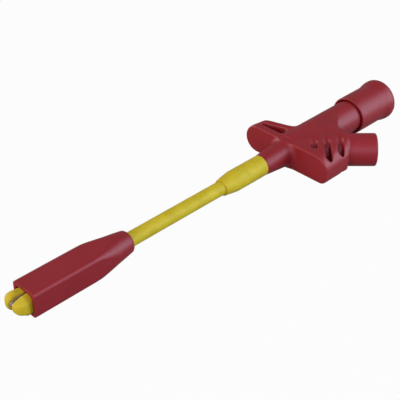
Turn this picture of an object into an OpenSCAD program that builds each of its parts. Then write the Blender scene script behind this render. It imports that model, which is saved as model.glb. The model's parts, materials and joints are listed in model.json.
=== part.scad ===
// Grabber test hook: a long insulated probe whose two jaws are pushed out of a hood by a thumb plunger.
// The main axis is X: the jaws are at the origin and the plunger is towards +X. The finger wings
// and the lead socket lie in the XY plane, with the socket on the -Y side. Millimetres, +Z up.

/* [Jaws] */
// Grip point to the mouth of the hood
grip_to_mouth = 4.5; // [3.5:0.1:6]
// Height of the jaws
jaw_h = 6.8; // [6:0.1:6.9]
// Rounding of the jaws' outer edges
jaw_edge_r = 1.9; // [1.8:0.1:2.6]
// Lowest point of the jaws below the main axis
jaw_belly = 3.1; // [2.4:0.1:3.3]
// Slot between the two jaw shells
jaw_slot = 0.9; // [0.7:0.05:1.2]
// How far the left jaw reaches past the grip point
left_tip = 0.3; // [0:0.1:1.5]
// How far the right jaw reaches past the grip point
right_tip = 0.2; // [0:0.1:1.5]
// Radius of the jaw noses on their outer side, seen from above
nose_r = 2.3; // [1.5:0.1:2.5]
// Height of a jaw shank inside the hood
shank_h = 4; // [3.4:0.1:4.4]
// Angle through which each jaw opens
open_angle = 9; // [6:0.5:10]
// Thickness of the contact strips
strip_t = 0.4; // [0.25:0.05:0.4]
// Pivot pin diameter
pivot_d = 1; // [0.8:0.1:1.2]
// Mouth of the hood to the pivot pin, with the jaws closed
mouth_to_pivot = 21.5; // [20:0.5:23]

/* [Hood] */
// Width of the hood
hood_w = 9.2; // [8.8:0.1:11]
// Height of the hood
hood_h = 8.1; // [8:0.1:10]
// Length of the hood
hood_len = 35.8; // [34:0.1:42]
// Radius along the long edges
hood_edge_r = 1.2; // [0.6:0.1:1.6]
// Diameter of the tapered end where the shaft leaves it
hood_tail_d = 7.1; // [6.2:0.1:7.6]
// Full taper angle of the tail
hood_taper = 18.4; // [14:0.1:24]
// Width of the guideway inside
guide_w = 7.2; // [7.2:0.05:7.5]
// Height of the guideway inside
guide_h = 7; // [7:0.05:7.2]
// Corner radius of the guideway
guide_r = 1.5; // [1.2:0.1:1.6]

/* [Shaft] */
// Diameter of the insulated shaft
shaft_d = 4.5; // [4.2:0.1:5]
// Bore through the shaft
shaft_bore_d = 2.2; // [2:0.1:2.6]
// Shaft in view between hood and ferrule
shaft_show = 38.9; // [20:0.1:80]
// Diameter of the push rod inside
rod_d = 1.6; // [1.2:0.1:1.6]
// Ferrule diameter
ferrule_d = 6.9; // [6.6:0.1:8]
// Ferrule diameter at its front face
ferrule_nose_d = 5.5; // [5:0.1:6]
// Length of the ferrule in view
ferrule_len = 16.9; // [15:0.1:24]
// Length of the ferrule's cone
ferrule_cone = 4.2; // [3:0.2:6]

/* [Body] */
// Length of the collar ahead of the flange
collar_len = 10.9; // [9:0.1:14]
// Collar diameter where it meets the flange
collar_d = 8.6; // [8:0.1:9]
// Fillet between collar and flange
collar_fillet = 1.7; // [1:0.1:2]
// Reach of the left wing from the main axis
left_reach = 16.5; // [15.5:0.1:18]
// Reach of the right wing from the main axis
right_reach = 17.8; // [17:0.1:18.5]
// Radius of the right wing's lower corner
foot_r = 2.5; // [1.5:0.1:4]
// Height of the finger flange
flange_h = 9.6; // [9.2:0.1:10.4]
// Thickness of the flange's front plate
flange_t = 3; // [2.4:0.1:3.2]
// Rounding of the plate's edges
plate_round = 0.6; // [0.3:0.05:0.8]
// Outer diameter of the plunger tube
tube_d = 11; // [10.8:0.1:11.6]
// Bore of the plunger tube
tube_bore_d = 7.2; // [6.6:0.1:7.4]
// Flange front face to the end of the tube
tube_len = 41; // [38:0.5:46]
// Thickness of the left wing's slanting wall
wall_t = 2.4; // [1.4:0.1:2.6]
// Slant of the left wing's rear wall
left_slant = 18.4; // [16:0.2:24]
// Depth of the left wing where it meets the tube's axis
left_depth = 10.6; // [9.6:0.2:12]

/* [Lead socket] */
// Angle of the socket from the main axis
socket_angle = 45; // [42:0.5:48]
// Where the socket axis crosses the main axis, behind the flange's front face
socket_cross = 2.9; // [2.4:0.1:3.2]
// Outer diameter of the socket barrel
socket_d = 10.8; // [10.6:0.1:11.4]
// Crossing point to the mouth of the socket
socket_len = 28.2; // [27.5:0.1:31]
// Diameter of the shroud gap round the insulated contact
shroud_d = 8.7; // [8.3:0.1:9]
// Depth of the shroud gap
shroud_depth = 15.2; // [13:0.1:15.4]
// Bore of the plug contact
plug_d = 4; // [3.9:0.05:4.1]
// Outer diameter of the plug contact
contact_d = 5; // [4.8:0.1:5.2]
// Outer diameter of the insulating sleeve on the contact
sleeve_d = 6.25; // [6:0.05:6.6]
// Depth of the contact's bore
plug_depth = 17.6; // [16.5:0.1:18]
// Angle at which the right wing rises from the flange plate to the height of the tube
wing_rise = 4; // [2:0.5:6]
// Where the right wing ends along the socket axis
wing_end = 18.6; // [18.2:0.1:20]
// Radius of the hollow edge between tube and socket
crotch_r = 12; // [10:0.5:13]
// Width of the relief slots in the right wing
slot_w = 2; // [1.6:0.1:2.4]
// Spacing of the relief slots
slot_pitch = 4.15; // [4:0.05:4.5]
// First relief slot, along the socket axis
slot_first = 7.5; // [7:0.1:8]
// Material left between the relief slots above and below
slot_web = 1.2; // [0.8:0.1:2]

/* [Plunger] */
// Travel of the plunger
travel = 9; // [6:0.5:9.5]
// Diameter of the cap at its rim
cap_d = 13.1; // [13:0.1:14]
// Diameter of the cap's flared end
cap_flare_d = 14.4; // [14.2:0.1:16]
// Length of the cap
cap_len = 18.2; // [18.1:0.1:20]
// How far the cap covers the tube at rest
cap_overlap = 7.2; // [5:0.1:7.3]
// Bore of the cap
cap_bore_d = 11.8; // [11.8:0.05:12]
// Straight part of the cap's side
cap_straight = 12.6; // [9:0.1:13]
// Thickness of the cap's end wall
cap_end_t = 1.8; // [1.6:0.1:2]
// Rounding of the cap's rear edge
cap_round = 1.6; // [0.8:0.1:2]
// Length of the return spring at rest
spring_len = 14; // [13.5:0.1:15]
// Wire diameter of the return spring
spring_wire = 0.5; // [0.4:0.05:0.6]
// Turns of the return spring
spring_turns = 7; // [5:1:7]

/* [Fits] */
// Radial gap of a fixed fit
fit_gap = 0.02; // [0.01:0.005:0.03]
// Radial gap of a sliding or turning fit
run_gap = 0.05; // [0.02:0.01:0.08]
// Gap between flat faces that part when the plunger moves
face_gap = 0.1; // [0.05:0.01:0.15]
// Room between the backs of the jaws and the mouth of the hood
cam_gap = 0.25; // [0.2:0.01:0.3]

/* [Hidden] */
$fn = 64;
// How far a cut or a joined shape runs past the face it meets
over = 1;
red = "#8b2632";
yellow = "#c2b43a";
nickel = "#c4c2bc";
copper = "#b8774a";

// Stations along the main axis
mouth_x = grip_to_mouth;
pivot_x = mouth_x + mouth_to_pivot;
hood_end_x = mouth_x + hood_len;
ferrule_x = hood_end_x + shaft_show;
collar_x = ferrule_x + ferrule_len;
flange_x = collar_x + collar_len;
plate_x = flange_x + flange_t;
socket_x = flange_x + socket_cross;
tube_end_x = flange_x + tube_len;
cap_x = tube_end_x - cap_overlap;
cap_end_x = cap_x + cap_len;
cap_floor_x = cap_end_x - cap_end_t;

// Jaw pivot and carrier
eye_wall = 0.85;
eye_r = pivot_d/2 + eye_wall;
eye_t = 0.9;
eye_z = 0.45;
cheek_z = eye_z + eye_t + face_gap;
cheek_t = 1.05;
cheek_w = 3.2;
cheek_front = 1.8;
carrier_back = 2;
carrier_collar_t = 1.6;
carrier_shank_t = 1.7;
rod_stop = 0.6;
guide_room = 0.2;
carrier_collar_r = min(guide_w, guide_h)/2 - guide_room;
carrier_end_x = pivot_x + carrier_back + carrier_collar_t + carrier_shank_t;
shaft_front_x = carrier_end_x + face_gap;

// Jaw outline, measured forward from the pivot
strip_start = 2.4;
shell_start = 3;
window_end = 7;
window_h = 0.8;
neck_reach = mouth_to_pivot - travel;
cam_steps = 8;
head_back = 0.3;
head_slope = 1.2;
left_nose_z = 0.6;
right_nose_z = 0.6;
left_nose_r = 2.6;
right_nose_r = 2;
slot_edge_r = 1;
strip_inset = 0.5;
strip_lap = 1;
nose_steps = 12;
hairpin_wire = 0.25;
coil_room = 0.45;
coil_steps = 16;

// Inside of the body
shaft_seat = 8;
spigot_len = 3.5;
spigot_d = (shaft_d + ferrule_d)/2;
bush_d = 4;
bush_len = 5.5;
bush_inset = 0.2;
bush_x = flange_x + bush_inset;
seat_t = 0.8;
spring_bore_inset = 10;
spring_bore_x = flange_x + spring_bore_inset;
spring_x = spring_bore_x + seat_t;
post_x = spring_x + spring_len;
spring_room = 0.3;
post_d = tube_bore_d - 2*run_gap;
post_spigot_d = 5;
post_spigot = 0.9;
rod_in_post = 12;
front_bush_d = 3.2;
front_bush_len = 4;
rod_room = 0.3;
rod_hole_d = rod_d + 2*rod_room;
bush_bore_d = rod_d + 2*run_gap;
tube_chamfer = 0.5;

// Lead socket, measured along its own axis from the crossing point
contact_lip = 1;
contact_floor = 1;
shroud_t = socket_len - shroud_depth;
contact_end_t = socket_len - contact_lip;
contact_t = contact_end_t - plug_depth - contact_floor;
sleeve_inset = 0.5;
sleeve_end_t = socket_len - sleeve_inset;
sleeve_lead_in = 0.2;
link_d = 1.8;
link_room = 0.1;
socket_round = 0.4;
slot_reach = [6.7, 11.7, 8.1];
slot_start = [0.2, 4.1, 0.6];
slot_sink = 0.4;
barrel_lap = 2;
crotch_t = 28.5;
crotch_q = -8.5;

// Flange
end_r = flange_h/2;
left_y = left_reach - end_r;
right_y = right_reach - end_r;
pocket_in = 0.4;
left_tip_out = 1.85;
left_root_r = 3;
left_tip_y = left_y + left_tip_out;
groove_w = 0.3;
groove_depth = 0.12;
ferrule_grooves = [8.4, 12.3];
ferrule_round = 0.25;
tail_round = 1;
cap_rim_round = 0.4;
flare_land = 0.3;

// Points of an arc about a centre, from one angle to another
function arc(centre, r, from, to, steps = 6) =
    [for (i = [0:steps]) centre + r*[cos(from + (to - from)*i/steps), sin(from + (to - from)*i/steps)]];

// Half width of a jaw at a distance ahead of its pivot: its back slides through the mouth of the hood
// as the jaw opens in step with the travel
function cam_back(s) = guide_w/2 - cam_gap - s*tan(open_angle*(mouth_to_pivot - s)/travel);

// Turns a shape that stands on Z to lie along the main axis
module along_x(x = 0) {
    translate([x, 0, 0]) rotate([0, 90, 0]) children();
}

// Turns a shape that stands on Z to lie along the socket axis
module along_socket(t = 0) {
    translate([socket_x, 0, 0]) rotate([0, 0, -socket_angle]) translate([t, 0, 0]) rotate([0, 90, 0])
        children();
}

// Round wire along a path: a ring of points at each place, turned about the axis of its coils
module wire(path, d, axis, sides = 6) {
    last = len(path) - 1;
    points = [for (i = [0:last], k = [0:sides - 1])
        let (run = path[min(i + 1, last)] - path[max(i - 1, 0)],
            out = cross(run, axis)/norm(cross(run, axis)),
            up = cross(out, run)/norm(run))
        path[i] + d/2*(out*cos(360*k/sides) + up*sin(360*k/sides))];
    walls = [for (i = [0:last - 1], k = [0:sides - 1])
        [i*sides + k, i*sides + (k + 1)%sides, (i + 1)*sides + (k + 1)%sides, (i + 1)*sides + k]];
    start = [for (k = [sides - 1:-1:0]) k];
    end = [for (k = [0:sides - 1]) last*sides + k];
    polyhedron(points, concat(walls, [start, end]));
}

// Plain ring between two radii
module ring(outer_d, inner_d, h) {
    difference() {
        cylinder(d = outer_d, h = h);
        translate([0, 0, -over]) cylinder(d = inner_d, h = h + 2*over);
    }
}

// Rectangle with round corners
module round_rect(w, h, r) {
    square([w - 2*r, h], center = true);
    square([w, h - 2*r], center = true);
    for (x = [-1, 1], y = [-1, 1])
        translate([x*(w/2 - r), y*(h/2 - r)]) circle(r);
}

// Outline of both wings, before it is laid along the main axis: its x is down and its y is to the left.
// The left end is a half circle. The right end has a round shoulder above and a tighter corner below.
module wing_outline() {
    foot_z = end_r - foot_r;
    foot_y = right_reach - foot_r;
    translate([-end_r, -right_y]) square([flange_h, left_y + right_y]);
    translate([0, left_y]) circle(end_r);
    translate([0, -right_y]) circle(end_r);
    translate([foot_z, -foot_y]) circle(foot_r);
    translate([0, -right_reach]) square([foot_z, end_r]);
    translate([0, -foot_y]) square([end_r, foot_y - right_y]);
}

module hood() {
    tail_x = hood_len - tail_round;
    grow = tan(hood_taper/2);
    wide = norm([hood_w, hood_h])/2;
    color(red) along_x(mouth_x) difference() {
        intersection() {
            linear_extrude(hood_len) round_rect(hood_h, hood_w, hood_edge_r);
            rotate_extrude() polygon(concat(
                [[0, 0], [wide, 0], [wide, hood_len - (wide - hood_tail_d/2)/grow]],
                arc([hood_tail_d/2 - tail_round, tail_x], tail_round, hood_taper/2, 90),
                [[0, hood_len]]));
        }
        translate([0, 0, -over]) linear_extrude(shaft_front_x - mouth_x + over)
            round_rect(guide_h, guide_w, guide_r);
        cylinder(d = shaft_d + 2*fit_gap, h = hood_len + over);
    }
}

module shaft_tube() {
    end_x = collar_x + shaft_seat;
    color(yellow) along_x(shaft_front_x) difference() {
        cylinder(d = shaft_d, h = end_x - shaft_front_x);
        translate([0, 0, -over]) cylinder(d = shaft_bore_d, h = end_x - shaft_front_x + 2*over);
        translate([0, 0, -over]) cylinder(d = front_bush_d + 2*fit_gap, h = front_bush_len + over);
    }
}

module shaft_ferrule() {
    front_r = ferrule_nose_d/2;
    side_r = ferrule_d/2;
    color(yellow) along_x(ferrule_x) difference() {
        union() {
            rotate_extrude() polygon(concat(
                [[0, 0]],
                arc([front_r - ferrule_round, ferrule_round], ferrule_round, -90, 0),
                [[side_r, ferrule_cone], [side_r, ferrule_len], [0, ferrule_len]]));
            cylinder(d = spigot_d, h = ferrule_len + spigot_len);
        }
        translate([0, 0, -over]) cylinder(d = shaft_d + 2*fit_gap, h = ferrule_len + spigot_len + 2*over);
        for (z = ferrule_grooves)
            translate([0, 0, z - groove_w/2]) ring(ferrule_d + over, ferrule_d - 2*groove_depth, groove_w);
    }
}

module front_bush() {
    color(copper) along_x(shaft_front_x) ring(front_bush_d, bush_bore_d, front_bush_len);
}

// Disc of the plate's thickness with rounded edges
module plate_disc(r) {
    rotate_extrude() intersection() {
        round_rect(2*r, flange_t, plate_round);
        translate([0, -flange_t]) square([2*r, 2*flange_t]);
    }
}

// Bar of the plate's thickness with rounded edges, along y
module plate_bar(w, length) {
    rotate([90, 0, 0]) translate([0, 0, -length]) linear_extrude(length) round_rect(w, flange_t, plate_round);
}

// Flange plate with the outline of both wings and rounded edges
module flange_plate() {
    foot_z = end_r - foot_r;
    foot_y = right_reach - foot_r;
    along_x(flange_x + flange_t/2) {
        translate([0, left_y, 0]) plate_disc(end_r);
        translate([0, -right_y, 0]) plate_disc(end_r);
        translate([foot_z, -foot_y, 0]) plate_disc(foot_r);
        translate([0, -right_y, 0]) plate_bar(flange_h, left_y + right_y);
        translate([foot_z, -foot_y, 0]) plate_bar(2*foot_r, foot_y - right_y);
        translate([foot_z, -foot_y, 0]) rotate([0, 0, 90]) plate_bar(2*foot_r, foot_z);
    }
}

// Collar with a hollow fillet that fades into the flange plate
module collar() {
    flare_r = collar_d/2 + collar_fillet;
    along_x(collar_x) rotate_extrude() polygon([[0, 0], [ferrule_d/2, 0],
        [collar_d/2, collar_len - collar_fillet], [collar_d/2, collar_len + over], [0, collar_len + over]]);
    intersection() {
        along_x(collar_x) rotate_extrude() difference() {
            translate([0, collar_len - collar_fillet]) square([flare_r, collar_fillet + over]);
            translate([flare_r, collar_len - collar_fillet]) circle(collar_fillet);
        }
        along_x(collar_x) linear_extrude(collar_len + over) wing_outline();
    }
}

// Left wing: a slanting wall behind the plate, hollow above and below a middle web
module left_wing() {
    rise = tan(left_slant);
    inner = wall_t/cos(left_slant);
    top = flange_h/2 - slot_web/2 + over;
    root_y = sqrt(tube_d^2 - flange_h^2)/2;
    root_x = flange_x + left_depth - root_y*rise + left_root_r*tan(45 - left_slant/2);
    intersection() {
        along_x(plate_x - over) linear_extrude(root_x - plate_x + over) wing_outline();
        difference() {
            linear_extrude(flange_h, center = true) polygon(concat(
                [[plate_x - over, 0], [plate_x - over, left_tip_y + over], [plate_x, left_tip_y + over],
                    [flange_x + left_depth - left_tip_y*rise, left_tip_y]],
                arc([root_x, root_y + left_root_r], left_root_r, 180 + left_slant, 270),
                [[root_x, 0]]));
            for (side = [0, 1]) mirror([0, 0, side])
                translate([0, 0, slot_web/2]) linear_extrude(top) polygon([
                    [plate_x, tube_d/4],
                    [plate_x, left_tip_y - pocket_in - wall_t/4],
                    [flange_x + left_depth - inner - (left_tip_y - pocket_in)*rise, left_tip_y - pocket_in],
                    [flange_x + left_depth - inner - tube_d/4*rise, tube_d/4]]);
        }
    }
}

// Right wing: the block that carries the socket barrel. The plate's outline runs back, with its top rising
// to the height of the tube, and is cut in a hollow curve towards the tube
module right_wing() {
    difference() {
        intersection() {
            for (lean = [0, wing_rise])
                translate([plate_x, 0, 0]) rotate([0, -lean, 0])
                    along_x(-over) linear_extrude(wing_end + flange_t) wing_outline();
            along_socket() translate([0, 0, wing_end/2]) cube([tube_d, 4*wing_end, wing_end], center = true);
            translate([plate_x - over, -2*right_reach, -flange_h]) cube([2*wing_end, 2*right_reach, 2*flange_h]);
        }
        along_socket(crotch_t) rotate([0, 90, 0]) translate([0, -crotch_q, 0])
            cylinder(r = crotch_r, h = 2*flange_h, center = true);
    }
}

// Relief slot across the wing: a faint groove over the socket barrel that grows deep towards its outer end
module relief_slot(t, start, reach) {
    inner = start - slot_w/2;
    outer = reach - slot_w/2;
    floor_r = socket_d/2 - slot_sink;
    difference() {
        translate([0, 0, slot_web/2]) translate([socket_x, 0, 0]) rotate([0, 0, -socket_angle])
            linear_extrude(flange_h) {
                translate([t - slot_w/2, -outer]) square([slot_w, inner + outer]);
                translate([t, -outer]) circle(d = slot_w);
                translate([t, inner]) circle(d = slot_w);
            }
        along_socket() cylinder(r = floor_r, h = socket_len);
        along_socket() translate([-floor_r, 0, 0]) cube([2*floor_r, tube_d, socket_len]);
    }
}

// Socket barrel with a rounded rim: it starts inside the wing, ahead of the shroud gap
module socket_barrel() {
    r = socket_d/2;
    start = shroud_t - barrel_lap;
    along_socket() rotate_extrude() polygon(concat(
        [[0, start], [r, start]],
        arc([r - socket_round, socket_len - socket_round], socket_round, 0, 90, 4),
        [[0, socket_len]]));
}

module body_housing() {
    color(red) difference() {
        union() {
            collar();
            flange_plate();
            left_wing();
            right_wing();
            socket_barrel();
            along_x(plate_x - over) cylinder(d = tube_d, h = tube_end_x - plate_x + over);
        }
        for (i = [0:len(slot_reach) - 1], side = [0, 1]) mirror([0, 0, side])
            relief_slot(slot_first + i*slot_pitch, slot_start[i], slot_reach[i]);
        along_x(collar_x - over) cylinder(d = spigot_d + 2*fit_gap, h = spigot_len + fit_gap + over);
        along_x(collar_x) cylinder(d = shaft_d + 2*fit_gap, h = shaft_seat + fit_gap);
        along_x(collar_x) cylinder(d = rod_hole_d, h = spring_bore_x - collar_x + over);
        along_x(bush_x) cylinder(d = bush_d + 2*fit_gap, h = spring_bore_x - bush_x + over);
        along_x(spring_bore_x) cylinder(d = tube_bore_d, h = tube_end_x - spring_bore_x + over);
        along_x(tube_end_x - tube_chamfer)
            cylinder(d1 = tube_bore_d, d2 = tube_bore_d + 4*tube_chamfer, h = 2*tube_chamfer);
        along_socket() cylinder(d = link_d + 2*link_room, h = contact_t + over);
        along_socket(contact_t - fit_gap) cylinder(d = contact_d + 2*fit_gap, h = socket_len);
        along_socket(shroud_t) cylinder(d = shroud_d, h = shroud_depth + over);
    }
}

module contact_bush() {
    color(copper) along_x(bush_x + fit_gap) ring(bush_d, bush_bore_d, bush_len);
}

module contact_link() {
    color(copper) difference() {
        along_socket() cylinder(d = link_d, h = contact_t - fit_gap);
        along_x(bush_x - bush_len) cylinder(d = bush_d + 2*fit_gap, h = 3*bush_len);
    }
}

module socket_contact() {
    color(nickel) along_socket(contact_t) difference() {
        cylinder(d = contact_d, h = contact_floor + plug_depth);
        translate([0, 0, contact_floor]) cylinder(d = plug_d, h = plug_depth + over);
    }
}

module socket_sleeve() {
    color(red) along_socket(shroud_t + fit_gap) difference() {
        cylinder(d = sleeve_d, h = sleeve_end_t - shroud_t - fit_gap);
        translate([0, 0, -over]) cylinder(d = contact_d + 2*fit_gap, h = contact_end_t - shroud_t + over);
        cylinder(d = plug_d + 2*sleeve_lead_in, h = socket_len);
    }
}

module spring_seat() {
    color(nickel) along_x(spring_bore_x + fit_gap)
        ring(tube_bore_d - 2*fit_gap, rod_hole_d, seat_t - fit_gap);
}

module return_spring() {
    mean_r = tube_bore_d/2 - spring_wire/2 - spring_room;
    steps = spring_turns*coil_steps;
    start = spring_x + spring_wire/2 + fit_gap;
    rise = spring_len - spring_wire - 2*fit_gap;
    color(nickel) wire([for (i = [0:steps])
        let (turn = 360*i/coil_steps) [start + rise*i/steps, mean_r*cos(turn), mean_r*sin(turn)]],
        spring_wire, [1, 0, 0]);
}

module plunger_cap() {
    rim = cap_d/2;
    flare = cap_flare_d/2;
    flare_end = cap_len - flare_land - cap_round;
    bend = 2*atan((flare - rim)/(flare_end - cap_straight));
    bend_r = (flare_end - cap_straight)/(2*sin(bend));
    color(red) along_x(cap_x) difference() {
        rotate_extrude() polygon(concat(
            [[0, 0]],
            arc([rim - cap_rim_round, cap_rim_round], cap_rim_round, -90, 0, 4),
            arc([rim + bend_r, cap_straight], bend_r, 180, 180 - bend, 4),
            arc([flare - bend_r, flare_end], bend_r, -bend*3/4, 0, 3),
            arc([flare - cap_round, cap_len - cap_round], cap_round, 0, 90),
            [[0, cap_len]]));
        translate([0, 0, -over]) cylinder(d = cap_bore_d, h = cap_floor_x - cap_x + over);
        cylinder(d = post_spigot_d + 2*fit_gap, h = cap_floor_x - cap_x + post_spigot + fit_gap);
    }
}

module plunger_post() {
    color(yellow) along_x(post_x) difference() {
        union() {
            cylinder(d = post_d, h = cap_floor_x - post_x);
            cylinder(d = post_spigot_d, h = cap_floor_x - post_x + post_spigot);
        }
        translate([0, 0, -over]) cylinder(d = rod_d + 2*fit_gap, h = rod_in_post + fit_gap + over);
    }
}

module push_rod() {
    start_x = pivot_x + carrier_back + rod_stop + fit_gap;
    color(nickel) along_x(start_x) cylinder(d = rod_d, h = post_x + rod_in_post - start_x);
}

module jaw_carrier() {
    height = 2*(cheek_z + cheek_t);
    color(nickel) difference() {
        union() {
            along_x(pivot_x + carrier_back) cylinder(r = carrier_collar_r, h = carrier_collar_t);
            along_x(pivot_x + carrier_back)
                cylinder(d = front_bush_d, h = carrier_collar_t + carrier_shank_t);
            for (side = [0, 1]) mirror([0, 0, side])
                translate([pivot_x - cheek_front, -cheek_w/2, cheek_z])
                    cube([cheek_front + carrier_back + carrier_collar_t/2, cheek_w, cheek_t]);
        }
        along_x(pivot_x + carrier_back + rod_stop) cylinder(d = rod_d + 2*fit_gap, h = shaft_show);
        translate([pivot_x, 0, -height]) cylinder(d = pivot_d + 2*fit_gap, h = 2*height);
    }
}

module jaw_pivot_pin() {
    height = 2*(cheek_z + cheek_t);
    color(nickel) translate([pivot_x, 0, -height/2]) cylinder(d = pivot_d, h = height);
}

// Hairpin spring: a leg along each jaw, bent out to run into one and a half turns round the pivot pin
module jaw_spring() {
    coil_r = pivot_d/2 + coil_room;
    leg_y = jaw_slot/2 - strip_t/2;
    leg_end = window_end - 2*hairpin_wire;
    bend = shell_start - 2*hairpin_wire;
    lift = asin(coil_r/norm([bend, leg_y])) - atan(leg_y/bend);
    sweep = 360 + 2*(90 + lift);
    steps = 2*coil_steps;
    drop = 2*eye_z - 2*face_gap - hairpin_wire;
    coil = [for (i = [0:steps])
        let (turn = 90 + lift - sweep*i/steps)
        [pivot_x + coil_r*cos(turn), coil_r*sin(turn), drop*(0.5 - i/steps)]];
    color(nickel) wire(concat(
        [[pivot_x - leg_end, leg_y, drop/2], [pivot_x - bend, leg_y, drop/2]], coil,
        [[pivot_x - bend, -leg_y, -drop/2], [pivot_x - leg_end, -leg_y, -drop/2]]),
        hairpin_wire, [0, 0, 1]);
}

// Side view of a jaw ahead of its pivot: a low shank, a step up behind the mouth and a round nose
module jaw_side(tip, nose_z, side_r, crown, inset = 0) {
    head = mouth_to_pivot - head_back;
    nose = pivot_x + tip - side_r;
    polygon(concat(
        [[0, shank_h/2 - inset], [head - head_slope, shank_h/2 - inset], [head, crown],
            [head + head_slope, crown]],
        arc([nose, nose_z], side_r - inset, 90, -90, nose_steps),
        [[head + head_slope, inset - jaw_belly], [head, inset - jaw_belly],
            [head - head_slope, inset - shank_h/2], [0, inset - shank_h/2]]));
}

// Section of the jaw on the +Y side, before it is laid along the main axis: its x is down
module jaw_section() {
    inner = jaw_slot/2;
    outer = cam_back(mouth_to_pivot);
    intersection() {
        round_rect(jaw_h, 2*outer, jaw_edge_r);
        union() {
            translate([slot_edge_r - jaw_h/2, inner]) square([jaw_h/2 + jaw_belly - 2*slot_edge_r, outer]);
            translate([-jaw_h/2, inner + slot_edge_r]) square([jaw_h/2 + jaw_belly, outer]);
            for (x = [slot_edge_r - jaw_h/2, jaw_belly - slot_edge_r])
                translate([x, inner + slot_edge_r]) circle(slot_edge_r);
        }
    }
}

// Jaw shell on the +Y side: a round-edged finger outside the hood and a cam-backed shank inside it
module jaw_shell(tip, nose_z, side_r) {
    inner = jaw_slot/2;
    outer = cam_back(mouth_to_pivot);
    tuck_r = outer - inner - nose_r;
    reach = pivot_x + tip;
    outline = concat(
        [[shell_start, inner], [shell_start, cam_back(neck_reach)]],
        [for (i = [0:cam_steps])
            let (s = neck_reach + travel*i/cam_steps) [s, cam_back(s)]],
        arc([reach - nose_r, outer - nose_r], nose_r, 90, 0, nose_steps),
        arc([reach - tuck_r, inner + tuck_r], tuck_r, 0, -90, nose_steps/2));
    translate([pivot_x, 0, 0]) mirror([1, 0, 0]) intersection() {
        linear_extrude(2*jaw_h, center = true) polygon(outline);
        rotate([90, 0, 0]) linear_extrude(2*jaw_h, center = true)
            jaw_side(tip, nose_z, side_r, jaw_h/2 + head_back);
        rotate([0, 90, 0]) linear_extrude(pivot_x + tip) jaw_section();
    }
}

// Contact strip on the +Y side, with an eye for the pivot pin that starts at eye_low
module jaw_contact(tip, nose_z, side_r, eye_low) {
    inner = jaw_slot/2 - strip_t;
    reach = pivot_x + tip - strip_inset;
    translate([pivot_x, 0, 0]) mirror([1, 0, 0]) difference() {
        union() {
            intersection() {
                translate([strip_start, inner, -jaw_h]) cube([reach - strip_start, strip_t, 2*jaw_h]);
                rotate([90, 0, 0]) linear_extrude(2*jaw_h, center = true)
                    jaw_side(tip, nose_z, side_r, jaw_h/2 - strip_inset, strip_inset);
            }
            translate([0, 0, eye_low]) cylinder(r = eye_r, h = eye_t);
            translate([0, inner, eye_low]) cube([strip_start + strip_lap, strip_t, eye_t]);
        }
        translate([0, 0, -jaw_h]) cylinder(d = pivot_d + 2*run_gap, h = 2*jaw_h);
        translate([strip_start - strip_lap, 0, -window_h/2])
            cube([window_end - strip_start + strip_lap, jaw_h, window_h]);
    }
}

module left_jaw_shell() {
    color(yellow) jaw_shell(left_tip, left_nose_z, left_nose_r);
}

module left_jaw_contact() {
    color(nickel) jaw_contact(left_tip, left_nose_z, left_nose_r, eye_z);
}

module right_jaw_shell() {
    color(yellow) mirror([0, 1, 0]) jaw_shell(right_tip, right_nose_z, right_nose_r);
}

module right_jaw_contact() {
    color(nickel) mirror([0, 1, 0])
        jaw_contact(right_tip, right_nose_z, right_nose_r, -eye_z - eye_t);
}

hood();
shaft_tube();
shaft_ferrule();
front_bush();
body_housing();
contact_bush();
contact_link();
socket_contact();
socket_sleeve();
spring_seat();
return_spring();
plunger_cap();
plunger_post();
push_rod();
jaw_carrier();
jaw_pivot_pin();
jaw_spring();
left_jaw_shell();
left_jaw_contact();
right_jaw_shell();
right_jaw_contact();
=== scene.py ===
"""Looks of the grabber test hook: moulded red and yellow plastic with nickel plated contacts."""

import json
import math

import bmesh
import bpy
from mathutils import Matrix, Vector

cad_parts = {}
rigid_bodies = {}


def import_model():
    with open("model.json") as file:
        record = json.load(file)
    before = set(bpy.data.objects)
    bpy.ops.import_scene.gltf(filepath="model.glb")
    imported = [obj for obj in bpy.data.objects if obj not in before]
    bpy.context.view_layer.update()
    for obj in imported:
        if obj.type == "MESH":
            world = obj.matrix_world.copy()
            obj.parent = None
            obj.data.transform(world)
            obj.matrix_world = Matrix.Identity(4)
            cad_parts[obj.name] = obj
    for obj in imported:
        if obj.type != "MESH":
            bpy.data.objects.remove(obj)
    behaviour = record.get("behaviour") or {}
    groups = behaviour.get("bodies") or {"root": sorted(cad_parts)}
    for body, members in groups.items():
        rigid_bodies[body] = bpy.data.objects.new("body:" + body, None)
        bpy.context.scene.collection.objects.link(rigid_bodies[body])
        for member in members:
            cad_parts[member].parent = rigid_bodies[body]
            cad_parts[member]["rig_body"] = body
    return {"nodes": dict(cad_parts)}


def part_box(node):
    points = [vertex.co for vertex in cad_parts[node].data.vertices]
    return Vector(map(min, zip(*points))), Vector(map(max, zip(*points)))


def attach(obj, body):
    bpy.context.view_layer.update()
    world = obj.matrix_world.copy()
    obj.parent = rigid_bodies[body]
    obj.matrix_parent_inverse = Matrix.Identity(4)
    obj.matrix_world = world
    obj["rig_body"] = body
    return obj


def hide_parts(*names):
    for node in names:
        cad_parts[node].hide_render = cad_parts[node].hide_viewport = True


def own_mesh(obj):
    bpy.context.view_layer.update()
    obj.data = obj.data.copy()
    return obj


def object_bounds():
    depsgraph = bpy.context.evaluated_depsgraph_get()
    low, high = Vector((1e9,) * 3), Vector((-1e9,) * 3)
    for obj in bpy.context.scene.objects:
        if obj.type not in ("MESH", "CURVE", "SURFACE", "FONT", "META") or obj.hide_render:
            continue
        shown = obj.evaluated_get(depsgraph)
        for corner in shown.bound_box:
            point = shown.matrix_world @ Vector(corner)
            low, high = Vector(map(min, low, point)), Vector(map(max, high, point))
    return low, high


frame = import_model()
cad_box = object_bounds()
nodes = frame["nodes"]
scene = bpy.context.scene
MM = 0.001


# Materials

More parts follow.
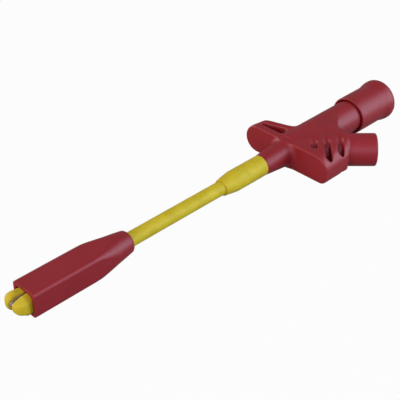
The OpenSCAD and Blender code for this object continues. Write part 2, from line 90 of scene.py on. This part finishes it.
def lin(colour):
    """Linear colour of an sRGB hex value."""
    parts = [int(colour[i:i + 2], 16) / 255 for i in (1, 3, 5)]
    return [c / 12.92 if c <= 0.04045 else ((c + 0.055) / 1.055) ** 2.4 for c in parts] + [1.0]


def add(tree, kind, settings=None, links=None):
    """Adds a node, sets its properties and sockets, and links its inputs to other nodes' outputs."""
    made = tree.nodes.new(kind)
    for name, value in (settings or {}).items():
        if isinstance(name, str) and hasattr(made, name):
            setattr(made, name, value)
        else:
            made.inputs[name].default_value = value
    for name, source in (links or {}).items():
        tree.links.new(source, made.inputs[name])
    return made


def new_material(name):
    """Empty node material and its tree."""
    material = bpy.data.materials.new(name)
    material.use_nodes = True
    material.node_tree.nodes.clear()
    return material, material.node_tree


def moulded_plastic(name, deep, pale, specular, rough, grain_mm, cloud_mm):
    """Injection moulded plastic: dyed through, with slight clouds in the dye, a fine eroded grain from
    the mould that breaks the shine up, and a skin that is a little glossier in places. The grain is drawn
    coarser than a mould's, which is too fine to show."""
    material, tree = new_material(name)
    place = add(tree, "ShaderNodeTexCoord").outputs["Object"]
    clouds = add(tree, "ShaderNodeTexNoise",
                 {"Scale": 1 / (cloud_mm * MM), "Detail": 3.0, "Roughness": 0.55}, {"Vector": place})
    dye = add(tree, "ShaderNodeValToRGB", links={"Fac": clouds.outputs["Fac"]})
    dye.color_ramp.elements[0].position = 0.3
    dye.color_ramp.elements[0].color = lin(deep)
    dye.color_ramp.elements[1].position = 0.72
    dye.color_ramp.elements[1].color = lin(pale)
    grain = add(tree, "ShaderNodeTexNoise",
                {"Scale": 1 / (grain_mm * MM), "Detail": 2.0, "Roughness": 0.6}, {"Vector": place})
    skin = add(tree, "ShaderNodeMapRange",
               {"From Min": 0.3, "From Max": 0.7, "To Min": rough - 0.05, "To Max": rough + 0.07},
               {"Value": grain.outputs["Fac"]})
    bump = add(tree, "ShaderNodeBump", {"Strength": 0.07, "Distance": 0.03 * MM},
               {"Height": grain.outputs["Fac"]})
    shader = add(tree, "ShaderNodeBsdfPrincipled", {"IOR": 1.5, "Specular IOR Level": specular},
                 {"Base Color": dye.outputs["Color"], "Roughness": skin.outputs["Result"],
                  "Normal": bump.outputs["Normal"]})
    add(tree, "ShaderNodeOutputMaterial", links={"Surface": shader.outputs["BSDF"]})
    return material


def drawn_metal(name, dark, bright, rough, line_mm, along):
    """Drawn or stamped metal: fine lines along the draw that stretch the shine across them. The lines are
    drawn coarser than real ones, which are too fine to show."""
    material, tree = new_material(name)
    place = add(tree, "ShaderNodeTexCoord").outputs["Object"]
    stretch = add(tree, "ShaderNodeMapping", {"Scale": along}, {"Vector": place})
    lines = add(tree, "ShaderNodeTexNoise",
                {"Scale": 1 / (line_mm * MM), "Detail": 4.0, "Roughness": 0.6},
                {"Vector": stretch.outputs["Vector"]})
    tone = add(tree, "ShaderNodeValToRGB", links={"Fac": lines.outputs["Fac"]})
    tone.color_ramp.elements[0].position = 0.25
    tone.color_ramp.elements[0].color = lin(dark)
    tone.color_ramp.elements[1].position = 0.75
    tone.color_ramp.elements[1].color = lin(bright)
    gloss = add(tree, "ShaderNodeMapRange",
                {"From Min": 0.3, "From Max": 0.7, "To Min": rough - 0.06, "To Max": rough + 0.1},
                {"Value": lines.outputs["Fac"]})
    bump = add(tree, "ShaderNodeBump", {"Strength": 0.15, "Distance": 0.01 * MM},
               {"Height": lines.outputs["Fac"]})
    shader = add(tree, "ShaderNodeBsdfPrincipled", {"Metallic": 1.0},
                 {"Base Color": tone.outputs["Color"], "Roughness": gloss.outputs["Result"],
                  "Normal": bump.outputs["Normal"]})
    add(tree, "ShaderNodeOutputMaterial", links={"Surface": shader.outputs["BSDF"]})
    return material


# Red nylon with a dense dye: deep and half gloss, so that its sheen takes the cool tint of the lamps.
red_nylon = moulded_plastic("red_nylon_moulded", deep="#88171c", pale="#8f1b21", specular=0.43, rough=0.45,
                            grain_mm=0.25, cloud_mm=9.0)
# Yellow nylon: duller than the red, with clouds in its dye that show a little more.
yellow_nylon = moulded_plastic("yellow_nylon_moulded", deep="#bfaa1e", pale="#cfb928", specular=0.2,
                               rough=0.5, grain_mm=0.25, cloud_mm=4.0)
# Nickel on stamped brass: pale grey, softly mirrored, with lines along the strip.
nickel_plate = drawn_metal("nickel_plated_brass", dark="#a9a596", bright="#d2ccbe", rough=0.38,
                           line_mm=0.12, along=(0.12, 1, 1))
# Drawn bronze of the hidden bushes and the link: warm brown with lines along the draw.
bronze = drawn_metal("drawn_bronze", dark="#9c6a3e", bright="#c08a55", rough=0.32,
                     line_mm=0.12, along=(0.15, 1, 1))
# Hard drawn spring wire: plain grey and fairly bright.
spring_wire = drawn_metal("spring_steel_wire", dark="#8b8c8e", bright="#b9babc", rough=0.3,
                          line_mm=0.08, along=(1, 1, 1))


# Pieces

def new_piece(name, form):
    """New object with the mesh of a form, whose faces are turned outwards first."""
    bmesh.ops.recalc_face_normals(form, faces=form.faces)
    mesh = bpy.data.meshes.new(name)
    form.to_mesh(mesh)
    form.free()
    obj = bpy.data.objects.new(name, mesh)
    scene.collection.objects.link(obj)
    return obj


def finish_piece(obj, node, material):
    """Gives a new piece its material and its body, and hides the solid of the node that it stands for."""
    obj.data.materials.clear()
    obj.data.materials.append(material)
    obj.data.shade_smooth()
    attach(obj, nodes[node]["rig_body"])
    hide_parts(node)
    return obj


def ramp(value, start, end):
    """Share from 0 at start to 1 at end."""
    return min(max((value - start) / (end - start), 0.0), 1.0)


def ease(form, verts):
    """One pass that moves each vertex half way to the middle of its neighbours."""
    bmesh.ops.smooth_vert(form, verts=verts, factor=0.5, use_axis_x=True, use_axis_y=True, use_axis_z=True)


def merged_copy(node, name):
    """Copy of a node's solid with its corners joined."""
    mesh = nodes[node].data.copy()
    obj = bpy.data.objects.new(name, mesh)
    scene.collection.objects.link(obj)
    form = bmesh.new()
    form.from_mesh(mesh)
    bmesh.ops.remove_doubles(form, verts=form.verts, dist=0.002 * MM)
    form.to_mesh(mesh)
    form.free()
    return obj


def moulded_copy(node, voxel_mm, passes, more, share, shift=None):
    """Copy of a node's solid with the small radii of a moulding: remeshed evenly and eased all over.
    share gives the part of the further passes that a place in mm gets, from 0 to 1. shift gives the way
    in mm that a place is moved before them."""
    obj = merged_copy(node, node + "_moulded")
    remesh = obj.modifiers.new("even", "REMESH")
    remesh.mode = "VOXEL"
    remesh.voxel_size = voxel_mm * MM
    even = bpy.data.meshes.new_from_object(obj.evaluated_get(bpy.context.evaluated_depsgraph_get()))
    obj.modifiers.clear()
    obj.data = even
    form = bmesh.new()
    form.from_mesh(even)
    for _ in range(passes):
        ease(form, form.verts)
    form.normal_update()
    wanted = [(v, more * share(v.co / MM)) for v in form.verts]
    if shift:
        for v in form.verts:
            v.co += shift(v.co / MM, v.normal) * MM
    for turn in range(more):
        ease(form, [v for v, count in wanted if count > turn])
    form.to_mesh(even)
    form.free()
    return obj


# Heads of the jaws in front of the hood: where along the main axis, in mm, each change starts and is full.
HEAD_EASED = (4.6, 3.9)
HEAD_FILLED = (4.45, 2.6)
HEAD_LOWERED = (6.0, 4.8)
# Filling of a head in mm and the share of it on top, and the way that each side of the slot is drawn back.
HEAD_FILL, TOP_SHARE, SLOT_BACK = 0.35, 0.4, 0.2
# Height of a lowered head against the solid's, its drop in mm, and how much deeper a contact lies.
HEAD_SCALE, HEAD_DROP, CONTACT_DEEPER = 0.931, 0.415, 0.22


def head_share(place):
    """Head of a jaw, outside the hood."""
    return ramp(place.x, *HEAD_EASED)


def head_shift(place, normal):
    """Fills the outside of a jaw's head by what the easing takes off, and draws the slot's sides apart."""
    faces_slot = normal.y * place.y < -0.3 * abs(place.y)
    out = -SLOT_BACK if faces_slot else HEAD_FILL
    return Vector((0, normal.y, min(normal.z, TOP_SHARE * normal.z))) * out * ramp(place.x, *HEAD_FILLED)


def head_let_down(obj, deeper=0.0):
    """Lets the head of a jaw down below the hood's lip. The share deeper draws a contact back from the
    surface of its shell."""
    for v in obj.data.vertices:
        low = HEAD_SCALE * v.co.z - HEAD_DROP * MM
        v.co.z += ramp(v.co.x / MM, *HEAD_LOWERED) * (low * (1 - deeper) - v.co.z)
    return obj


# Body, in mm: the point where the socket's axis leaves the main axis, the ways along and across it, and the
# places of the relief slots along it.
SOCKET = Vector((109.9, 0, 0))
SOCKET_WAY = Vector((1, -1, 0)).normalized()
SOCKET_SIDE = Vector((1, 1, 0)).normalized()
SLOTS = (7.5, 11.65, 15.8)
SLOT_REACH = 1.8
# Radii of the inside of the plunger tube and of the barrel, which stay as they are, and the barrel's start.
TUBE_INSIDE, BARREL_INSIDE, BARREL_START = 4.4, 4.6, 7


def wing_share(place):
    """Outside of the body, where plate, wings, tube and barrel run into each other, less near the slots."""
    along = (place - SOCKET).dot(SOCKET_WAY)
    across = (place - SOCKET).dot(SOCKET_SIDE)
    in_tube = math.hypot(place.y, place.z) < TUBE_INSIDE
    in_barrel = along > BARREL_START and math.hypot(across, place.z) < BARREL_INSIDE
    if in_tube or in_barrel:
        return 0.0
    near_slot = min(abs(along - slot) for slot in SLOTS) < SLOT_REACH
    slot_part = ramp(across, -5, -1) * 0.8 + 0.2 if near_slot else 1.0
    before_barrel_end = max(ramp(along, 18.2, 16.5), ramp(across, 1.5, 3))
    behind_plate = ramp(place.x, 108.6, 109.6)
    before_tube_end = ramp(place.x, 130, 126)
    return behind_plate * before_tube_end * before_barrel_end * slot_part


def section_radius(half_w, half_h, corner, angle):
    """Distance from the main axis to the edge of a rectangle with round corners, at an angle from +Y."""
    way = Vector((abs(math.cos(angle)), abs(math.sin(angle))))
    middle = Vector((half_w - corner, half_h - corner))
    if way.y * half_w <= way.x * middle.y:
        return half_w / way.x
    if way.x * half_h <= way.y * middle.x:
        return half_h / way.y
    along = way.dot(middle)
    return along + math.sqrt(max(along ** 2 - middle.length_squared + corner ** 2, 0))


def lofted(node, sections, rays=192):
    """New piece drawn out ring by ring through sections (x, half width, half height, corner radius, height of
    the middle) in mm, and closed from the last to the first."""
    form = bmesh.new()
    across = Matrix(((0, 0, 1), (1, 0, 0), (0, 1, 0))).to_4x4()
    bmesh.ops.create_circle(form, segments=rays, radius=MM,
                            matrix=across @ Matrix.Rotation(math.pi / rays, 4, "Z"))
    first = ring = form.edges[:]
    middle_before = 0.0
    for number, (x, half_w, half_h, corner, middle) in enumerate(sections):
        if number:
            drawn = bmesh.ops.extrude_edge_only(form, edges=ring)["geom"]
            ring = [part for part in drawn if isinstance(part, bmesh.types.BMEdge) and part.is_boundary]
        for v in {v for edge in ring for v in edge.verts}:
            angle = math.atan2(v.co.z / MM - middle_before, v.co.y / MM)
            r = section_radius(half_w, half_h, corner, angle)
            v.co = Vector((x, r * math.cos(angle), r * math.sin(angle) + middle)) * MM
        middle_before = middle
    bmesh.ops.bridge_loops(form, edges=first + ring)
    return new_piece(node + "_lofted", form)


def soft_min(a, b, width=0.2):
    """Lesser of two sizes, with a soft change from one to the other."""
    return (a + b - math.hypot(a - b, width)) / 2


def corner_within(half_w, half_h, reach):
    """Corner radius with which a rectangle's diagonal comes down to a reach, found by halving."""
    low, high = 0.0, min(half_w, half_h)
    for _ in range(30):
        corner = (low + high) / 2
        if math.hypot(half_w - corner, half_h - corner) + corner > reach:
            low = corner
        else:
            high = corner
    return corner


def hood_sections(cone_steps=56, tail_steps=8):
    """Hood from the mouth to the tail along the outside, and back along the bore, the guideway and the lip
    that hangs down at the top of the mouth. Sizes in mm."""
    half_w, half_h, edge = 4.6, 4.05, 1.2
    mouth, rim = 4.5, 0.15
    taper_start, fall = 22.0, 0.1718
    tail_end, tail_r, tail_round = 40.3, 3.55, 1.0
    bore, bore_edge = 2.27, 0.1
    guide_w, guide_h, guide_r, guide_end = 3.6, 3.5, 1.5, 31.4
    lip, lip_drop = 0.9, 0.3

    out = []
    for k in range(4):
        turn = math.radians(30 * k)
        inset = rim * (1 - math.sin(turn))
        out.append((mouth + rim * (1 - math.cos(turn)), half_w - inset, half_h - inset, edge - inset))
    out += [(x, half_w, half_h, edge) for x in (mouth + 2 * rim, mouth + 6, mouth + 12)]

    lean = math.atan(fall)
    cone_end = tail_end - tail_round * (1 - math.sin(lean))
    cone_r = tail_r - tail_round * (1 - math.cos(lean))
    diagonal = math.hypot(half_w - edge, half_h - edge) + edge
    for k in range(cone_steps + 1):
        x = taper_start + (cone_end - taper_start) * k / cone_steps
        cone = cone_r + (cone_end - x) * fall
        a, b, reach = (soft_min(size, cone) for size in (half_w, half_h, diagonal))
        out.append((x, a, b, corner_within(a, b, reach)))
    for k in range(1, tail_steps + 1):
        turn = lean + (math.pi / 2 - lean) * k / tail_steps
        r = tail_r - tail_round * (1 - math.cos(turn))
        out.append((tail_end - tail_round * (1 - math.sin(turn)), r, r, r))

    out.append((tail_end, *[bore + bore_edge] * 3))
    out += [(x, bore, bore, bore) for x in (tail_end - bore_edge, tail_end - 3 * bore_edge,
                                            guide_end + bore_edge, guide_end)]
    out += [(x, guide_w, guide_h, guide_r) for x in (guide_end, guide_end - bore_edge,
                                                     mouth + 2 * lip, mouth + 1.5 * lip)]
    out = [(*section, 0) for section in out]
    out += [(x, guide_w, guide_h - lip_drop, guide_r, -lip_drop)
            for x in (mouth + lip, mouth + 2 * rim, mouth + rim)]
    out.append((mouth, guide_w + rim, guide_h - lip_drop + rim, guide_r + rim, -lip_drop))
    return out


def turned(node, corners, closed):
    """New piece turned about the main axis from the corners (x, radius, rounding) of its outline, in mm."""
    form = bmesh.new()
    verts = [form.verts.new((x * MM, 0, r * MM)) for x, r, _ in corners]
    for a, b in zip(verts, verts[1:] + verts[:1] if closed else verts[1:]):
        form.edges.new((a, b))
    reaches = []
    for v, (_, _, rounding) in zip(verts, corners):
        ways = [edge.other_vert(v).co - v.co for edge in v.link_edges]
        reaches.append(rounding * MM / math.tan(ways[0].angle(ways[1]) / 2) if rounding else 0)
    for v, reach in zip(verts, reaches):
        if reach:
            bmesh.ops.bevel(form, geom=[v], offset=reach, offset_type="OFFSET", affect="VERTICES", segments=6,
                            profile=0.5, material=-1)
    bmesh.ops.spin(form, geom=form.verts[:] + form.edges[:], cent=(0, 0, 0), axis=(1, 0, 0), dvec=(0, 0, 0),
                   angle=math.tau, steps=96, use_merge=True)
    bmesh.ops.remove_doubles(form, verts=form.verts, dist=0.001 * MM)
    obj = new_piece(node + "_turned", form)
    # The wide faces keep their even shading beside the small round edges.
    obj.modifiers.new("even_shading", "WEIGHTED_NORMAL")
    return obj


finish_piece(lofted("hood", hood_sections()), "hood", red_nylon)
finish_piece(moulded_copy("body_housing", voxel_mm=0.26, passes=3, more=24, share=wing_share),
             "body_housing", red_nylon)

for side in ("left", "right"):
    shell = side + "_jaw_shell"
    head = moulded_copy(shell, voxel_mm=0.12, passes=6, more=60, share=head_share, shift=head_shift)
    finish_piece(head_let_down(head), shell, yellow_nylon)
for side in ("left", "right"):
    contact = side + "_jaw_contact"
    strip = head_let_down(merged_copy(contact, contact + "_strip"), CONTACT_DEEPER)
    finish_piece(strip, contact, nickel_plate)
    strip.data.shade_flat()

# Cap: flat end with a round edge, a flare in two soft bends, a straight side, a round rim, and inside the
# clearance round the tube and the seat of the post.
CAP = [(159.0, 0, 0), (159.0, 7.2, 1.4), (156.0, 7.2, 7.0), (153.9, 6.55, 7.0),
       (140.8, 6.55, 0.4), (140.8, 5.9, 0.15),
       (157.2, 5.9, 0.1), (157.2, 2.52, 0.05), (158.12, 2.52, 0.05), (158.12, 0, 0)]
finish_piece(turned("plunger_cap", CAP, closed=False), "plunger_cap", red_nylon)

# Shaft: plain tube, with a wider seat for the front bush.
shaft_start, shaft_end = (corner.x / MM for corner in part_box("shaft_tube"))
bush_seat = shaft_start + 4
SHAFT = [(shaft_start, 1.62, 0.05), (shaft_start, 2.25, 0.1), (shaft_end, 2.25, 0.1),
         (shaft_end, 1.1, 0.05), (bush_seat, 1.1, 0.05), (bush_seat, 1.62, 0.05)]
finish_piece(turned("shaft_tube", SHAFT, closed=True), "shaft_tube", yellow_nylon)

# Ferrule: cone, two fine grooves, a soft rear edge and the spigot in the collar.
GROOVES = [(x, r, 0.05) for middle in (87.6, 91.5)
           for x, r in ((middle - 0.15, 3.45), (middle, 3.36), (middle + 0.15, 3.45))]
FERRULE = [(78.2, 2.27, 0.05), (78.2, 2.7, 0.3), (83.4, 3.45, 3.0), *GROOVES,
           (96.1, 3.45, 0.12), (96.1, 2.85, 0.05), (99.6, 2.85, 0.1), (99.6, 2.27, 0.05)]
finish_piece(turned("shaft_ferrule", FERRULE, closed=True), "shaft_ferrule", yellow_nylon)

# Return spring: the node's solid with its corners joined, on a mesh of its own.
coil = finish_piece(merged_copy("return_spring", "return_spring_coil"), "return_spring", spring_wire)
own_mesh(coil)

# Nodes whose solids stay.
PLAIN = {
    "plunger_post": yellow_nylon, "socket_sleeve": red_nylon,
    "socket_contact": nickel_plate, "spring_seat": nickel_plate, "push_rod": nickel_plate,
    "jaw_carrier": nickel_plate,
    "front_bush": bronze, "contact_bush": bronze, "contact_link": bronze,
    "jaw_spring": spring_wire, "jaw_pivot_pin": spring_wire}
for name, material in PLAIN.items():
    nodes[name].data.materials.clear()
    nodes[name].data.materials.append(material)


# Stage, light and camera

# Share of the white background in reflections, and share of it that the floor gives the eye over its shadow.
MIRRORED_WHITE = 0.15
FLOOR_WHITE = 0.97


def white_seen(tree):
    """Share of the white background that a ray sees: all of it for the eye and through clear things, and a
    part of it in reflections, so that dark plastic keeps its depth."""
    ray = add(tree, "ShaderNodeLightPath")
    straight = add(tree, "ShaderNodeMath", {"operation": "ADD", "use_clamp": True},
                   {0: ray.outputs["Is Camera Ray"], 1: ray.outputs["Is Transmission Ray"]})
    seen = add(tree, "ShaderNodeMath", {"operation": "MULTIPLY_ADD", "use_clamp": True, 1: MIRRORED_WHITE},
               {0: ray.outputs["Is Glossy Ray"], 2: straight.outputs["Value"]})
    return seen.outputs["Value"]


def stage_material():
    """Pale studio floor: white to the eye, with a faint shadow, and plain pale to the light."""
    material, tree = new_material("studio_floor")
    share = add(tree, "ShaderNodeMath", {"operation": "MULTIPLY", 1: FLOOR_WHITE}, {0: white_seen(tree)})
    pale = add(tree, "ShaderNodeBsdfDiffuse", {"Color": (0.22, 0.22, 0.22, 1)})
    white = add(tree, "ShaderNodeEmission", {"Color": (1, 1, 1, 1), "Strength": 1.0})
    mix = add(tree, "ShaderNodeMixShader",
              links={0: share.outputs["Value"], 1: pale.outputs["BSDF"], 2: white.outputs["Emission"]})
    add(tree, "ShaderNodeOutputMaterial", links={"Surface": mix.outputs["Shader"]})
    return material


floor_mesh = bpy.data.meshes.new("floor")
sheet = bmesh.new()
bmesh.ops.create_grid(sheet, x_segments=1, y_segments=1, size=3.0,
                      matrix=Matrix.Translation((0.08, 0, cad_box[0].z - 0.01 * MM)))
sheet.to_mesh(floor_mesh)
sheet.free()
floor = bpy.data.objects.new("floor", floor_mesh)
floor_mesh.materials.append(stage_material())
scene.collection.objects.link(floor)

world = bpy.data.worlds.new("studio")
scene.world = world
world.use_nodes = True
sky = world.node_tree
sky.nodes.clear()
dim = add(sky, "ShaderNodeBackground", {"Color": (0.86, 0.88, 1.0, 1), "Strength": 0.22})
white = add(sky, "ShaderNodeBackground", {"Color": (1, 1, 1, 1), "Strength": 1.0})
mix = add(sky, "ShaderNodeMixShader",
          links={0: white_seen(sky), 1: dim.outputs["Background"], 2: white.outputs["Background"]})
add(sky, "ShaderNodeOutputWorld", links={"Surface": mix.outputs["Shader"]})

# Point that the camera looks at.
AIM = Vector((69.245, 0.144, -0.18)) * MM


def softbox(name, target, direction, distance, size, power, colour):
    """Square studio softbox that faces a target on the object, in metres and watts."""
    data = bpy.data.lights.new(name, "AREA")
    data.shape = "SQUARE"
    data.size = size
    data.energy = power
    data.color = colour
    lamp = bpy.data.objects.new(name, data)
    way = Vector(direction).normalized()
    lamp.location = Vector(target) + way * distance
    lamp.rotation_mode = "QUATERNION"
    lamp.rotation_quaternion = way.to_track_quat("Z", "Y")
    scene.collection.objects.link(lamp)


# Sheen along the right side of cap, tube and hood.
softbox("key", target=(0.14, 0, 0), direction=(0.58, -0.65, 0.42), distance=0.5, size=0.46, power=1.2,
        colour=(0.68, 0.8, 1.0))
# Faces that look to the jaws' end.
softbox("fill", target=AIM, direction=(-0.95, 0.1, 0.35), distance=0.9, size=0.6, power=5.0,
        colour=(1.0, 0.88, 0.84))
# Hood and jaws from the camera's side.
softbox("window", target=(0.03, 0, 0), direction=(-0.45, -0.72, 0.53), distance=0.35, size=0.235, power=0.56,
        colour=(0.76, 0.68, 1.0))
# End of the right wing.
softbox("low", target=(0.124, -0.014, 0), direction=(0.5, -0.79, 0.36), distance=0.3, size=0.28, power=0.85,
        colour=(0.68, 0.82, 1.0))
# Far side, for the views from behind.
softbox("rear", target=AIM, direction=(-0.2, 0.95, 0.25), distance=0.9, size=0.6, power=4.2,
        colour=(1.0, 0.96, 0.94))

# Camera at the photograph's place, fitted to its outline: angles in degrees, distance in mm, and the focal
# length in pixels of its width.
AZIMUTH, ELEVATION = math.radians(-44.804), math.radians(34.851)
DISTANCE, FOCAL_PX, WIDTH_PX = 283.65, 943.0, 400
SENSOR_MM = 36.0
camera = bpy.data.objects.new("camera", bpy.data.cameras.new("camera"))
scene.collection.objects.link(camera)
back = Vector((math.sin(AZIMUTH) * math.cos(ELEVATION), -math.cos(AZIMUTH) * math.cos(ELEVATION),
               math.sin(ELEVATION)))
camera.location = AIM + back * DISTANCE * MM
camera.rotation_mode = "QUATERNION"
camera.rotation_quaternion = back.to_track_quat("Z", "Y")
camera.data.sensor_width = SENSOR_MM
camera.data.lens = FOCAL_PX * SENSOR_MM / WIDTH_PX
camera.data.clip_start = 0.01
camera.data.clip_end = 20.0
scene.camera = camera

scene.view_settings.view_transform = "Standard"
